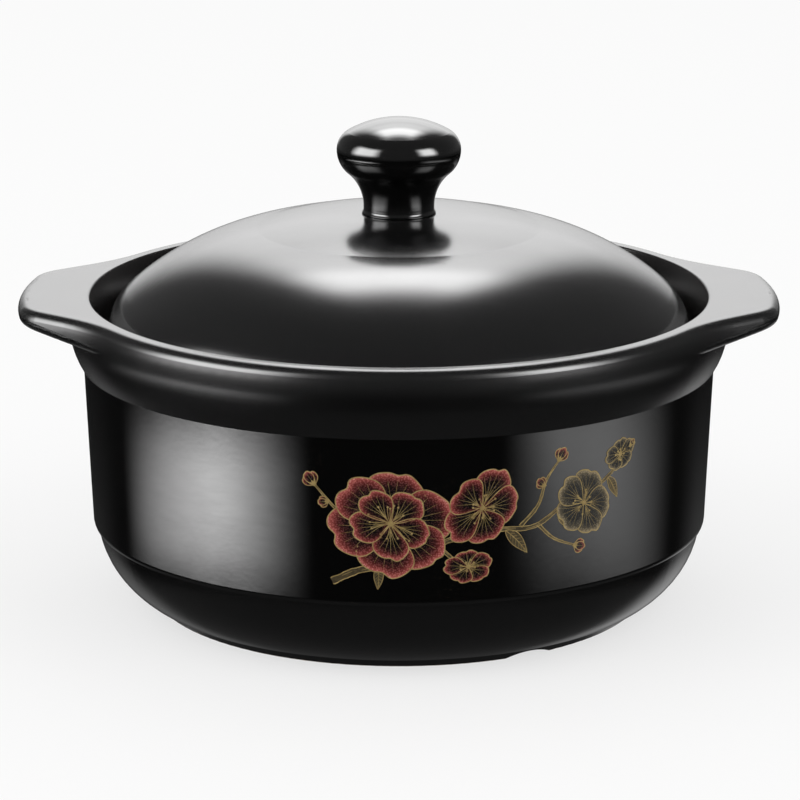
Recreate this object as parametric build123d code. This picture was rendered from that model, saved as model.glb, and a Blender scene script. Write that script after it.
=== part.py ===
# Round clay cooking pot with two flat ears, a domed lid and a screwed-on knob.
# Millimetres, +Z up. The origin is the middle of the foot ring, on the surface the
# pot stands on. The ears point along X, and the decorated front looks along -Y.
import math
import os
from build123d import *

# Pot: overall sizes
rim_radius = 130.4
pot_height = 123.0
ear_reach = 20.3

# Pot: rim and collar
rim_width = 8.1
rim_edge_round = 4.3
mouth_edge_round = 1.2
collar_height = 26.7
collar_widest_drop = 10.0
collar_step = 0.8
collar_edge_round = 0.6

# Pot: band, ridge, bowl and foot ring
collar_overhang = 5.5
band_taper = 2.5
ridge_height = 31.6
ridge_round_height = 1.8
ridge_round_depth = 0.5
ridge_round_radius = 3.6
ridge_step = 1.2
bowl_radius = 36.0
bowl_inset = 18.6
foot_inset = 5.2
foot_draft = 2.6
foot_height = 4.2
foot_width = 8.0
foot_recess = 3.0
foot_edge_round = 0.5

# Pot: notches under the foot ring
notch_count = 3
notch_width = 20.0
notch_depth = 2.2
first_notch_angle = -60.0

# Pot: inside
wall = 8.0
floor_thickness = 8.5
inner_bowl_radius = 25.0
mouth_taper = 5.6
ledge_drop = 17.8
ledge_width = 9.7
ledge_lip = 2.5
ledge_edge_round = 1.0
ledge_blend_height = 14.0

# Ears: plan outline and thickness
ear_tip_corner = 20.0
ear_side_angle = 38.7
ear_side_inset = 11.6
ear_flare_radius = 85.0
ear_edge_width = 7.0
ear_edge_overlap = 1.5
ear_edge_depth = 16.0
ear_tip_thickness = 6.6
ear_root_thickness = 9.8
ear_root_reach = 6.0
ear_lower_round = 3.4

# Lid
lid_wall = 7.0
lid_seat_gap = 0.3
lid_side_gap = 1.3
lid_lip_height = 1.5
lid_shoulder_radius = 22.0
lid_shoulder_angle = 49.0
lid_dome_offset = 35.67
lid_ring_radius = 56.0
lid_ring_round = 9.0
lid_disc_rise = 5.6
lid_edge_round = 1.0
knob_seat_margin = 1.4
washer_seat_margin = 2.0

# Knob
knob_radius = 24.4
knob_height = 37.5
knob_widest_height = 24.9
knob_cap_round = 8.4
knob_lower_round = 11.5
knob_neck_height = 2.8
knob_stem_radius = 14.0
knob_lip_overhang = 0.6
knob_lip_height = 1.6
knob_lip_edge = 0.3
knob_base_wall = 1.6
knob_seat_gap = 0.3

# Fastening: M6 screw from below into an insert set in the knob
screw_radius = 3.0
screw_length = 20.0
screw_head_radius = 6.0
screw_head_height = 3.6
screw_head_round = 1.4
screw_end_chamfer = 0.6
cross_recess_span = 6.0
cross_recess_width = 1.4
cross_recess_depth = 2.0
thread_clearance = 0.05
hole_clearance = 1.0
washer_hole_clearance = 0.3
washer_radius = 9.0
washer_thickness = 1.6
seal_thickness = 1.5
gasket_thickness = 1.2
gasket_side_gap = 0.2
insert_radius = 5.0
insert_length = 14.0
insert_blind_end = 2.0
insert_groove_width = 3.0
insert_groove_depth = 0.9

# How far every cutting shape reaches past what it cuts
overrun = 5.0

# Radii worked out from the sizes above
mouth_radius = rim_radius - rim_width
band_top_radius = rim_radius - collar_overhang
band_bottom_radius = band_top_radius - band_taper
bowl_foot_radius = band_bottom_radius - bowl_inset
foot_radius = bowl_foot_radius - foot_inset
recess_radius = mouth_radius - mouth_taper
ledge_radius = recess_radius - ledge_width
ear_tip_radius = rim_radius + ear_reach
lid_radius = recess_radius - lid_side_gap
knob_lip_radius = knob_stem_radius + knob_lip_overhang
knob_seat_radius = knob_lip_radius + knob_seat_margin
gasket_radius = knob_stem_radius - knob_base_wall - gasket_side_gap
washer_seat_radius = washer_radius + washer_seat_margin
collar_inset = collar_overhang - collar_step
collar_radius = ((collar_height - collar_widest_drop) ** 2 + collar_inset**2) / (2 * collar_inset)

# Levels worked out from the sizes above
ledge_level = pot_height - ledge_drop
lid_level = ledge_level + lid_seat_gap
floor_level = foot_recess + floor_thickness


def arc_about(centre, start, end):
    """Return the short arc about a centre from one point to another."""
    outward = (start - centre) + (end - centre)
    middle = centre + outward.normalized() * (start - centre).length
    return ThreePointArc(start, middle, end)


def rounded(face, point, radius):
    """Return the face with the corner nearest a point rounded."""
    corner = face.vertices().sort_by_distance(point)[0]
    return fillet(corner, radius)


def turned(face):
    """Return the solid made by turning a radius-height profile about the pot's axis."""
    return revolve(Plane.XZ * face, Axis.Z)


def disc(radius, bottom, top):
    """Return a round slab between two heights."""
    return extrude(Pos(Z=bottom) * Circle(radius), top - bottom)


def disc_ring(inner_radius, outer_radius, bottom, top):
    """Return a flat ring between two heights."""
    ring = Circle(outer_radius) - Circle(inner_radius)
    return extrude(Pos(Z=bottom) * ring, top - bottom)


def collar_depth(drop):
    """Return how far the collar's arc lies inside its widest point, at a drop below the rim."""
    return collar_radius - math.sqrt(collar_radius**2 - (collar_widest_drop - drop) ** 2)


def pot_profile():
    """Return the half section of the pot without its ears."""
    collar_bottom = pot_height - collar_height
    rim_edge = Vector(rim_radius - collar_depth(0), pot_height)
    collar_end = Vector(rim_radius - collar_inset, collar_bottom)
    band_top = Vector(band_top_radius, collar_bottom)
    band_end = Vector(band_bottom_radius, ridge_height + ridge_round_height)
    ridge_edge = Vector(band_bottom_radius - ridge_round_depth, ridge_height)
    bowl_top = Vector(ridge_edge.X - ridge_step, ridge_height)
    bowl_end = Vector(bowl_foot_radius, foot_height)
    foot_top = Vector(foot_radius + foot_draft, foot_height)
    foot_inside = foot_radius - foot_width
    floor_edge = Vector(band_bottom_radius - wall - inner_bowl_radius, floor_level)
    wall_foot = Vector(band_bottom_radius - wall, floor_level + inner_bowl_radius)
    blend_level = ledge_level - ledge_lip - ledge_blend_height
    wall_top = Vector(band_top_radius - wall, blend_level)
    ledge_under = Vector(ledge_radius, ledge_level - ledge_lip)
    recess_foot = Vector(recess_radius, ledge_level)

    outline = Curve() + [
        Polyline((0, foot_recess), (foot_inside, foot_recess), (foot_inside, 0)),
        Polyline((foot_inside, 0), (foot_radius, 0), foot_top, bowl_end),
        RadiusArc(bowl_end, bowl_top, -bowl_radius),
        Line(bowl_top, ridge_edge),
        RadiusArc(ridge_edge, band_end, -ridge_round_radius),
        Polyline(band_end, band_top, collar_end),
        RadiusArc(collar_end, rim_edge, -collar_radius),
        Polyline(rim_edge, (mouth_radius, pot_height), recess_foot),
        Polyline(recess_foot, (ledge_radius, ledge_level), ledge_under, wall_top, wall_foot),
        RadiusArc(wall_foot, floor_edge, inner_bowl_radius),
        Polyline(floor_edge, (0, floor_level), (0, foot_recess)),
    ]
    profile = make_face(outline.edges())
    profile = rounded(profile, rim_edge, rim_edge_round)
    profile = rounded(profile, (mouth_radius, pot_height), mouth_edge_round)
    profile = rounded(profile, collar_end, collar_edge_round)
    profile = rounded(profile, (ledge_radius, ledge_level), ledge_edge_round)
    profile = rounded(profile, ledge_under, ledge_edge_round)
    profile = rounded(profile, wall_top, ledge_blend_height / 2)
    profile = rounded(profile, (foot_radius, 0), foot_edge_round)
    profile = rounded(profile, (foot_inside, 0), foot_edge_round)
    return profile


def ear_centres():
    """Return the plan centres of the ear's corner and flare, and its side's outward direction."""
    angle = math.radians(ear_side_angle)
    outward = Vector(math.sin(angle), math.cos(angle))
    along = Vector(math.cos(angle), -math.sin(angle))
    side_offset = rim_radius - ear_side_inset
    corner_offset = side_offset - ear_tip_corner
    corner_reach = ear_tip_radius - ear_tip_corner
    corner = outward * corner_offset + along * math.sqrt(corner_reach**2 - corner_offset**2)
    flare_offset = side_offset + ear_flare_radius
    flare_reach = rim_radius + ear_flare_radius
    flare = outward * flare_offset + along * math.sqrt(flare_reach**2 - flare_offset**2)
    return corner, flare, outward


def ear_core():
    """Return the plan of the ear on the +X side, without its edge."""
    corner, flare, outward = ear_centres()
    inset = ear_edge_width - ear_edge_overlap
    tip_radius = ear_tip_radius - inset
    corner_tip = corner.normalized() * tip_radius
    corner_side = corner + outward * (ear_tip_corner - inset)
    flare_side = flare - outward * (ear_flare_radius + inset)
    flare_end = flare.normalized() * (rim_radius - inset)
    half = Curve() + [
        arc_about(Vector(0, 0), Vector(tip_radius, 0), corner_tip),
        arc_about(corner, corner_tip, corner_side),
        Line(corner_side, flare_side),
        arc_about(flare, flare_side, flare_end),
    ]
    back = ThreePointArc(flare_end, (rim_radius - inset, 0), (flare_end.X, -flare_end.Y))
    return make_face(half.edges() + mirror(half, Plane.XZ).edges() + [back])


def edge_section():
    """Return the section of the ear's edge, with its widest point at zero: the collar's, going on."""
    bottom = pot_height - ear_edge_depth
    top_edge = Vector(-collar_depth(0), pot_height)
    foot = Vector(-collar_depth(ear_edge_depth), bottom)
    outline = Curve() + [
        Polyline(top_edge, (-ear_edge_width, pot_height), (-ear_edge_width, bottom), foot),
        RadiusArc(foot, top_edge, -collar_radius),
    ]
    return rounded(make_face(outline.edges()), top_edge, rim_edge_round)


def edge_arc(centre, start, end, hollow=False):
    """Return the ear's edge along an arc from one plan point to another, about a centre."""
    radius = (start - centre).length
    section = edge_section()
    if hollow:
        section = mirror(section, Plane.YZ)
    first = math.degrees(math.atan2(start.Y - centre.Y, start.X - centre.X))
    last = math.degrees(math.atan2(end.Y - centre.Y, end.X - centre.X))
    profile = Plane.XZ * Pos(radius) * section
    return Pos(centre.X, centre.Y) * Rot(Z=min(first, last)) * revolve(profile, Axis.Z, abs(last - first))


def ear_edge():
    """Return the edge that runs round the ear from the collar to the middle of its tip."""
    corner, flare, outward = ear_centres()
    corner_tip = corner.normalized() * ear_tip_radius
    corner_side = corner + outward * ear_tip_corner
    flare_side = flare - outward * ear_flare_radius
    flare_end = flare.normalized() * rim_radius
    length = (flare_side - corner_side).length
    side = extrude(Plane.XZ * edge_section(), length, dir=(0, 1, 0))
    side = Pos(corner_side.X, corner_side.Y) * Rot(Z=90 - ear_side_angle) * side
    return [
        edge_arc(Vector(0, 0), Vector(ear_tip_radius, 0), corner_tip),
        edge_arc(corner, corner_tip, corner_side),
        side,
        edge_arc(flare, flare_side, flare_end, hollow=True),
    ]


def ear_section():
    """Return the radial half section that gives the ear its thickness."""
    root_radius = rim_radius + ear_root_reach
    inner_radius = (mouth_radius + rim_radius) / 2 - overrun
    slope = (ear_root_thickness - ear_tip_thickness) / (ear_tip_radius - root_radius)
    outer_under = pot_height - ear_tip_thickness + slope * overrun
    inner_under = pot_height - ear_tip_thickness - slope * (ear_tip_radius - inner_radius)
    corners = [
        (inner_radius, pot_height),
        (ear_tip_radius + overrun, pot_height),
        (ear_tip_radius + overrun, outer_under),
        (inner_radius, inner_under),
    ]
    return make_face(Polyline(corners, close=True).edges())


def outside(point, radius):
    """Tell whether a point is further from the axis than a radius."""
    return math.hypot(point.X, point.Y) > radius


def ear():
    """Return the flat ear on the +X side, its edge flowing into the collar and rounded below."""
    half = ear_edge()
    core = extrude(Pos(Z=pot_height - ear_edge_depth) * ear_core(), ear_edge_depth)
    shape = core + half + [mirror(piece, Plane.XZ) for piece in half]
    shape = shape & turned(ear_section())
    underside = shape.faces().sort_by(Axis.Z)[0]
    buried_radius = rim_radius - ear_edge_width / 2
    lower = [edge for edge in underside.edges() if outside(edge @ 0, buried_radius)]
    lower = [edge for edge in lower if outside(edge @ 1, buried_radius)]
    return fillet(ShapeList(lower), ear_lower_round)


def foot_notches():
    """Return the shallow rounded cuts across the foot ring."""
    cut_radius = ((notch_width / 2) ** 2 + notch_depth**2) / (2 * notch_depth)
    reach = foot_width + 2 * overrun
    middle = foot_radius - foot_width / 2
    bar = Cylinder(cut_radius, reach, rotation=(0, 90, 0))
    bar = Pos(middle, 0, notch_depth - cut_radius) * bar
    return [Rot(Z=first_notch_angle + 360 * i / notch_count) * bar for i in range(notch_count)]


def pot_body():
    """Return the pot: bowl, band, collar, rim, lid ledge, foot ring and two ears."""
    one_ear = ear()
    pot = turned(pot_profile()) + one_ear + mirror(one_ear, Plane.YZ)
    return pot - foot_notches()


def lid_arcs():
    """Return the centres of the lid's shoulder and dome, their common normal and the dome's radius."""
    shoulder = Vector(lid_radius - lid_shoulder_radius, lid_level + lid_lip_height)
    angle = math.radians(lid_shoulder_angle)
    normal = Vector(math.cos(angle), math.sin(angle))
    dome_radius = lid_shoulder_radius + (shoulder.X - lid_dome_offset) / normal.X
    dome = shoulder + normal * (lid_shoulder_radius - dome_radius)
    return shoulder, dome, normal, dome_radius


def dome_level(radius, depth):
    """Return the height of the lid's dome at a radius, at a depth below its top face."""
    shoulder, dome, normal, dome_radius = lid_arcs()
    return dome.Y + math.sqrt((dome_radius - depth) ** 2 - (radius - dome.X) ** 2)


def knob_seat_level():
    """Return the height of the flat on the lid that carries the knob."""
    return dome_level(lid_ring_radius, 0) + lid_disc_rise


def lid_side(depth, disc_start):
    """Return the lid's profile from its lip to the middle, at a depth below its top face."""
    shoulder, dome, normal, dome_radius = lid_arcs()
    lip = Vector(lid_radius - depth, shoulder.Y)
    join = shoulder + normal * (lid_shoulder_radius - depth)
    ring = Vector(lid_ring_radius, dome_level(lid_ring_radius, depth))
    rise = knob_seat_level() - depth - ring.Y
    run = lid_ring_radius - disc_start
    disc_centre = Vector(disc_start, knob_seat_level() - depth - (run**2 + rise**2) / (2 * rise))
    disc_edge = Vector(disc_start, knob_seat_level() - depth)
    return [
        Line((lid_radius - depth, lid_level), lip),
        arc_about(shoulder, lip, join),
        arc_about(dome, join, ring),
        arc_about(disc_centre, ring, disc_edge),
    ]


def lid():
    """Return the domed lid with its raised disc, its lip and the hole for the screw."""
    hole_radius = screw_radius + hole_clearance
    top = knob_seat_level()
    under = top - lid_wall
    outline = Curve() + lid_side(0, knob_seat_radius) + lid_side(lid_wall, washer_seat_radius)
    outline += Line((knob_seat_radius, top), (hole_radius, top))
    outline += Line((hole_radius, top), (hole_radius, under))
    outline += Line((hole_radius, under), (washer_seat_radius, under))
    outline += Line((lid_radius - lid_wall, lid_level), (lid_radius, lid_level))
    profile = make_face(outline.edges())
    profile = rounded(profile, (lid_ring_radius, dome_level(lid_ring_radius, 0)), lid_ring_round)
    profile = rounded(profile, (lid_ring_radius, dome_level(lid_ring_radius, lid_wall)), lid_ring_round)
    profile = rounded(profile, (lid_radius, lid_level), lid_edge_round)
    profile = rounded(profile, (lid_radius - lid_wall, lid_level), lid_edge_round)
    return turned(profile)


def insert_shape(radius, groove_radius):
    """Return the outside of the threaded insert, standing on z = 0, with its waist groove."""
    groove_bottom = (insert_length - insert_groove_width) / 2
    groove_top = groove_bottom + insert_groove_width
    body = disc(radius, 0, insert_length)
    return body - disc_ring(groove_radius, radius + overrun, groove_bottom, groove_top)


def knob_outline():
    """Return the closed half section of the knob, from its base at height zero."""
    cap = Vector(knob_radius - knob_cap_round, knob_widest_height)
    rise = knob_height - knob_widest_height
    crown_radius = (cap.X**2 + rise**2 - knob_cap_round**2) / (2 * (rise - knob_cap_round))
    crown = Vector(0, knob_height - crown_radius)
    crown_end = cap + (cap - crown).normalized() * knob_cap_round
    widest = Vector(knob_radius, knob_widest_height)
    lower = Vector(knob_radius - knob_lower_round, knob_widest_height)
    inset = knob_stem_radius - lower.X
    drop = knob_widest_height - knob_neck_height
    neck_round = (inset**2 + drop**2 - knob_lower_round**2) / (2 * (knob_lower_round - inset))
    neck = Vector(knob_stem_radius + neck_round, knob_neck_height)
    neck_top = lower + (neck - lower).normalized() * knob_lower_round
    neck_foot = Vector(knob_stem_radius, neck.Y)
    top = Vector(0, knob_height)
    lip_top = Vector(knob_stem_radius, knob_lip_height)
    lip_edge = Vector(knob_lip_radius, knob_lip_edge)
    flare_drop = knob_lip_height - knob_lip_edge
    flare_radius = (knob_lip_overhang**2 + flare_drop**2) / (2 * knob_lip_overhang)
    outline = Curve() + [
        Polyline(top, (0, 0), (knob_lip_radius, 0), lip_edge),
        arc_about(lip_top + Vector(flare_radius, 0), lip_edge, lip_top),
        Line(lip_top, neck_foot),
        arc_about(neck, neck_foot, neck_top),
        arc_about(lower, neck_top, widest),
        arc_about(cap, widest, crown_end),
        arc_about(crown, crown_end, top),
    ]
    return make_face(outline.edges())


def knob():
    """Return the knob, hollowed for its insert, the screw's end and the gasket."""
    recess_depth = gasket_thickness - knob_seat_gap
    recess = disc(gasket_radius + gasket_side_gap, -overrun, recess_depth)
    pocket = Pos(Z=recess_depth) * insert_shape(insert_radius, insert_radius - insert_groove_depth)
    return Pos(Z=knob_seat_level() + knob_seat_gap) * (turned(knob_outline()) - recess - pocket)


def knob_insert():
    """Return the insert that takes the screw's thread, closed at its upper end."""
    body = insert_shape(insert_radius, insert_radius - insert_groove_depth)
    bore = disc(screw_radius + thread_clearance, -overrun, insert_length - insert_blind_end)
    return Pos(Z=knob_seat_level() + gasket_thickness) * (body - bore)


def knob_gasket():
    """Return the flat gasket between the knob and the lid."""
    level = knob_seat_level()
    return disc_ring(screw_radius + washer_hole_clearance, gasket_radius, level, level + gasket_thickness)


def seal_washer():
    """Return the soft washer against the underside of the lid."""
    top = knob_seat_level() - lid_wall
    return disc_ring(screw_radius + washer_hole_clearance, washer_radius, top - seal_thickness, top)


def screw_washer():
    """Return the flat metal washer under the screw's head."""
    top = knob_seat_level() - lid_wall - seal_thickness
    return disc_ring(screw_radius + washer_hole_clearance, washer_radius, top - washer_thickness, top)


def lid_screw():
    """Return the cross-recessed pan head screw that pulls the knob onto the lid."""
    head_top = knob_seat_level() - lid_wall - seal_thickness - washer_thickness
    head = disc(screw_head_radius, -screw_head_height, 0)
    head = fillet(head.edges().sort_by(Axis.Z)[0], screw_head_round)
    shank = disc(screw_radius, 0, screw_length)
    shank = chamfer(shank.edges().sort_by(Axis.Z)[-1], screw_end_chamfer)
    slot_level = cross_recess_depth / 2 - screw_head_height
    arm = Box(cross_recess_span, cross_recess_width, cross_recess_depth)
    cross = Pos(Z=slot_level) * (arm + Rot(Z=90) * arm)
    return Pos(Z=head_top) * (head + shank - cross)


pieces = {
    "pot_body": pot_body,
    "lid": lid,
    "knob": knob,
    "knob_insert": knob_insert,
    "knob_gasket": knob_gasket,
    "seal_washer": seal_washer,
    "screw_washer": screw_washer,
    "lid_screw": lid_screw,
}

if __name__ == "__main__":
    os.makedirs("parts", exist_ok=True)
    for name, make in pieces.items():
        export_step(make(), f"parts/{name}.step")
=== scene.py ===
# Looks of a black glazed clay cooking pot: camera, studio light, finishes and the printed spray.
import math
import random
import bmesh
import bpy
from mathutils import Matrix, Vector


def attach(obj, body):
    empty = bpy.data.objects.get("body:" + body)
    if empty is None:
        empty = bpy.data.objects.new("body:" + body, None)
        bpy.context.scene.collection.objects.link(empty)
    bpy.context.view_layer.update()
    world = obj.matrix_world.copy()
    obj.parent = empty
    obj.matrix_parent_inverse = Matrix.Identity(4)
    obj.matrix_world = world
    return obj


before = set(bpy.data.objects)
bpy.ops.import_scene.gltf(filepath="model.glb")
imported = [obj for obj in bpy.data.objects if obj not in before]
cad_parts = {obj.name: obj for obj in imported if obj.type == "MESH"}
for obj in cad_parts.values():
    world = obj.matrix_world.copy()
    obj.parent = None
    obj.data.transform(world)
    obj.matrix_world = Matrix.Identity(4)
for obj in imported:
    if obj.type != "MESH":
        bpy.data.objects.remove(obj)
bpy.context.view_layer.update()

mm = 0.001

# Camera, as fitted to the picture
picture_pixels = 800
focal_pixels = 3544.29
sensor_width = 36.0
camera_elevation = 15.0
camera_distance = 1.41465
camera_target = Vector((0, 0, 77.88 * mm))
axis_pixel = 398.9

# Studio: plain light for matt surfaces, and the panels that the glaze mirrors (angles in degrees)
background_level = 0.96
sky_level = 0.78
room_level = 0.16
table_level = 0.015
near_table_level = 0.085
near_table_ends = (-38, -26)
horizon_ends = (-14, 2)
floor_half_width = 12.0
floor_colour = (0.90, 0.90, 0.898, 1)
floor_paleness = 0.68
lamps = (
    {"name": "left_lamp", "azimuth": -60, "elevation": 42, "level": 0.11},
    {"name": "right_lamp", "azimuth": 58, "elevation": 42, "level": 0.09},
    {"name": "rear_lamp", "azimuth": 180, "elevation": 62, "level": 0.09},
)
lamp_distance = 3.0
lamp_width = 1.9
panels = (
    {"sides": (-92, -44), "side_softs": (11, 11),
     "heights": (5.5, 38), "soft": 8, "tilt": -0.12, "level": 12.5},
    {"sides": (43, 73), "side_softs": (9, 9),
     "heights": (10, 40), "soft": 8, "tilt": 0.12, "level": 13.0},
    {"sides": (-91, -53), "side_softs": (32, 22),
     "heights": (-21.0, -19.25), "soft": 0.85, "tilt": 0.028, "level": 12.0},
    {"sides": (50, 98), "side_softs": (13, 25),
     "heights": (-21.0, -17.5), "soft": 1.4, "tilt": 0, "level": 1.9},
    {"sides": (-168, -138), "side_softs": (9, 12),
     "heights": (-40, -22), "soft": 7, "tilt": 0, "level": 0.2},
    {"sides": (138, 168), "side_softs": (12, 9),
     "heights": (-40, -22), "soft": 7, "tilt": 0, "level": 0.6},
)
backdrop_inner_angle = 13.0
backdrop_outer_angle = 26.0
backdrop_foot_ends = (-8, -2)
backdrop_peak = 10.0
zenith = 90.0
backdrop_shares = (
    (0, 0.09),
    (8, 0.14),
    (16, 0.225),
    (28, 0.31),
    (41, 0.48),
    (50, 0.98),
    (56.5, 1.0),
    (61, 0.5),
    (65.5, 0.1),
    (70, 0.0),
)

# Pot sizes that the finishes and the print need, in millimetres
collar_bottom = 96.3
band_bottom = 33.4
band_bottom_radius = 122.4
band_top_radius = 124.9
inside_lowest = 5.0

# Where one surface of the glaze goes over into the next, in millimetres
satin_heights = (collar_bottom - 0.5, collar_bottom + 0.3)
satin_radii = (106.0, 110.0)
bowl_heights = (band_bottom - 1.0, band_bottom + 0.5)
pot_line_heights = (0.0, 0.1)
pot_line_wander = 0.3
lid_line_heights = (105.9, 106.3)
lid_line_wander = 1.0

# Glaze: colours, roughness, and heights of its relief; every scale is in waves or cells per metre
glaze_ior = 1.6
pot_black = (0.0012, 0.0012, 0.0012, 1)
inside_black = (0.004, 0.003, 0.0026, 1)
lid_black = (0.0045, 0.0045, 0.0046, 1)
knob_black = (0.0015, 0.0015, 0.0015, 1)
speck_brown = (0.03, 0.022, 0.015, 1)
pot_speck_share = 0.35
lid_speck_share = 0.3
knob_speck_share = 0.25
band_roughness = 0.09
bowl_roughness = 0.14
satin_roughness = 0.25
lid_roughness = 0.18
knob_roughness = 0.10
wipe_marks = 0.03
knob_marks = 0.02
wave_height = 0.02 * mm
gloss_peel_height = 0.003 * mm
satin_peel_height = 0.006 * mm
pit_depth = 0.05 * mm
knob_wave_height = 0.012 * mm
knob_peel_height = 0.002 * mm
knob_pit_depth = 0.03 * mm
wave_scale = 38.0
peel_scale = 420.0
pit_scale = 110.0
pit_ends = (0.015, 0.05)
pit_threshold = 0.8
dull_patch_scale = 24.0
streak_scale = 90.0
streak_squeeze = 5.0
speck_scale = 520.0
speck_ends = (0.10, 0.26)
cluster_scale = 60.0
cluster_ends = (0.45, 0.75)
tone_scale = 18.0
tone_shares = (0.8, 1.15)
glaze_line_scale = 160.0
noise_ends = (0.3, 0.7)

# Bare fired clay
clay_brown = (0.40, 0.29, 0.20, 1)
clay_buff = (0.52, 0.41, 0.30, 1)
clay_dark = (0.16, 0.11, 0.08, 1)
clay_roughness = 0.85
clay_grain_height = 0.05 * mm
clay_patch_scale = 90.0
clay_grain_scale = 1300.0
dark_grain_ends = (0.58, 0.70)
dark_grain_share = 0.6

# Metal and rubber
steel_grey = (0.58, 0.57, 0.55, 1)
steel_stain = (0.36, 0.34, 0.31, 1)
steel_roughness = 0.30
brass_yellow = (0.72, 0.52, 0.22, 1)
brass_stain = (0.40, 0.27, 0.11, 1)
brass_roughness = 0.32
ring_depth = 0.002 * mm
ring_scale = 5200.0
smear_scale = 600.0
smear_roughness = 0.2
tarnish_scale = 260.0
tarnish_ends = (0.5, 0.75)
tarnish_share = 0.6
rubber_ior = 1.42
rubber_grey = (0.045, 0.044, 0.043, 1)
dust_grey = (0.12, 0.115, 0.11, 1)
rubber_roughness = (0.45, 0.6)
rubber_shine_scale = 900.0
rubber_grain_scale = 2600.0
rubber_grain_height = 0.01 * mm
dust_scale = 500.0
dust_ends = (0.5, 0.8)
dust_share = 0.5

# Print surface, and its colours from the lowest level to the highest
print_ior = 1.5
print_grain_height = 0.004 * mm
print_dot_ends = (0.15, 0.62)
petal_dot_scale = 1500.0
leaf_dot_scale = 1300.0
red_roughness = (0.26, 0.4)
red_rim_power = 2.4
red_rim_share = 0.62
red_tip_share = 0.42
red_grain_share = 0.34
petal_reds = (
    (0.22, (0.003, 0.002, 0.002)),
    (0.45, (0.045, 0.008, 0.007)),
    (0.68, (0.17, 0.028, 0.024)),
    (0.88, (0.37, 0.085, 0.070)),
    (1.0, (0.52, 0.19, 0.16)),
)
pale_roughness = (0.25, 0.4)
pale_rim_power = 1.6
pale_root_share = 0.2
pale_grain_share = 0.5
pale_golds = (
    (0.15, (0.004, 0.004, 0.003)),
    (0.55, (0.06, 0.048, 0.026)),
    (1.0, (0.26, 0.20, 0.11)),
)
bronze_roughness = (0.28, 0.42)
leaf_shift_scale = 240.0
leaf_shift_share = 0.5
leaf_grain_share = 0.6
bronzes = (
    (0.25, (0.012, 0.009, 0.005)),
    (0.75, (0.10, 0.072, 0.03)),
)
gold_roughness = (0.30, 0.46)
gold_metal_share = 0.3
gold_ends = (0.4, 1.0)
gold_broad_scale = 380.0
gold_fine_scale = 1800.0
gold_fine_share = 0.4
gold_grain_scale = 2400.0
gold_grain_height = 0.006 * mm
golds = (
    (0.15, (0.20, 0.135, 0.048)),
    (0.5, (0.36, 0.26, 0.095)),
    (0.9, (0.50, 0.38, 0.16)),
)

# Printed sheets: heights off the band in millimetres, and the angle past which an edge is sharp
print_lift = 0.02
print_sink = 0.01
layer_step = 0.004
sharp_angle = math.radians(40)

# Petals: shares of a petal's or a ring's size, and places in the circle of radius 1 a petal starts as
petal_cells = 12
petal_root_share = 0.36
petal_swell_speed = 1.3
petal_notch_share = 0.2
petal_ripple_share = 0.025
petal_ripples = 5
petal_sway_share = 0.06
petal_sway_step = 2.3
ring_root_share = 0.07
ring_length_share = 0.94
outline_end_angle = 168
outline_step_angle = 6
outline_width_share = 0.6
outline_bulge_share = 0.5
vein_width_share = 0.5
vein_tip_share = 0.35
vein_steps = 10
vein_root = -0.86
vein_reach = 1.62
vein_spread = 1.25
vein_shortening = 0.55
vein_curve = 1.1

# Stamens: widths and radii in millimetres, bend in radians, shift as a share of the gap to the next
stamen_seed = 7
stamen_steps = 6
stamen_shift_share = 0.25
stamen_bend = 0.25
stamen_reach_shares = (0.26, 0.42)
stamen_widths = (0.3, 0.2)
pollen_radius = 0.42
pistil_radius = 0.9
dot_corners = 10

# Buds: each petal's swing in radians and its length; shares are of the radius, the rest in millimetres
bud_petal_shares = ((-0.42, 1.75), (0.42, 1.75), (0.0, 2.0))
bud_width_share = 1.35
bud_line = 0.34
bud_vein = 0.16
cup_swing_shares = (-0.55, 0.0, 0.55)
cup_height_share = 0.75
cup_root_depth = 0.3
cup_steps = 4
cup_widths = (0.9, 0.15)
cup_bulge = 0.3

# Leaves and branches: widths of their lines in millimetres, at the start and at the end
leaf_steps = 16
leaf_belly_power = 0.8
leaf_fill_share = 0.9
leaf_fill_widths = (0.3, 0.1)
leaf_edge_widths = (0.34, 0.22)
midrib_widths = (0.4, 0.14)
leaf_vein_steps = (3, 5, 7, 9, 11, 13)
leaf_vein_share = 0.85
leaf_vein_widths = (0.16, 0.08)
branch_steps = 8
branch_edge_widths = (0.38, 0.24)
knot_share = 0.16
knot_step = 1.9
knot_drift = 0.7
bark_first = 3
bark_length = 4
bark_spacing = 5
bark_shares = (0.6, 0.35)
bark_widths = (0.1, 0.1)
bark_bulge = 0.12

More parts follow.
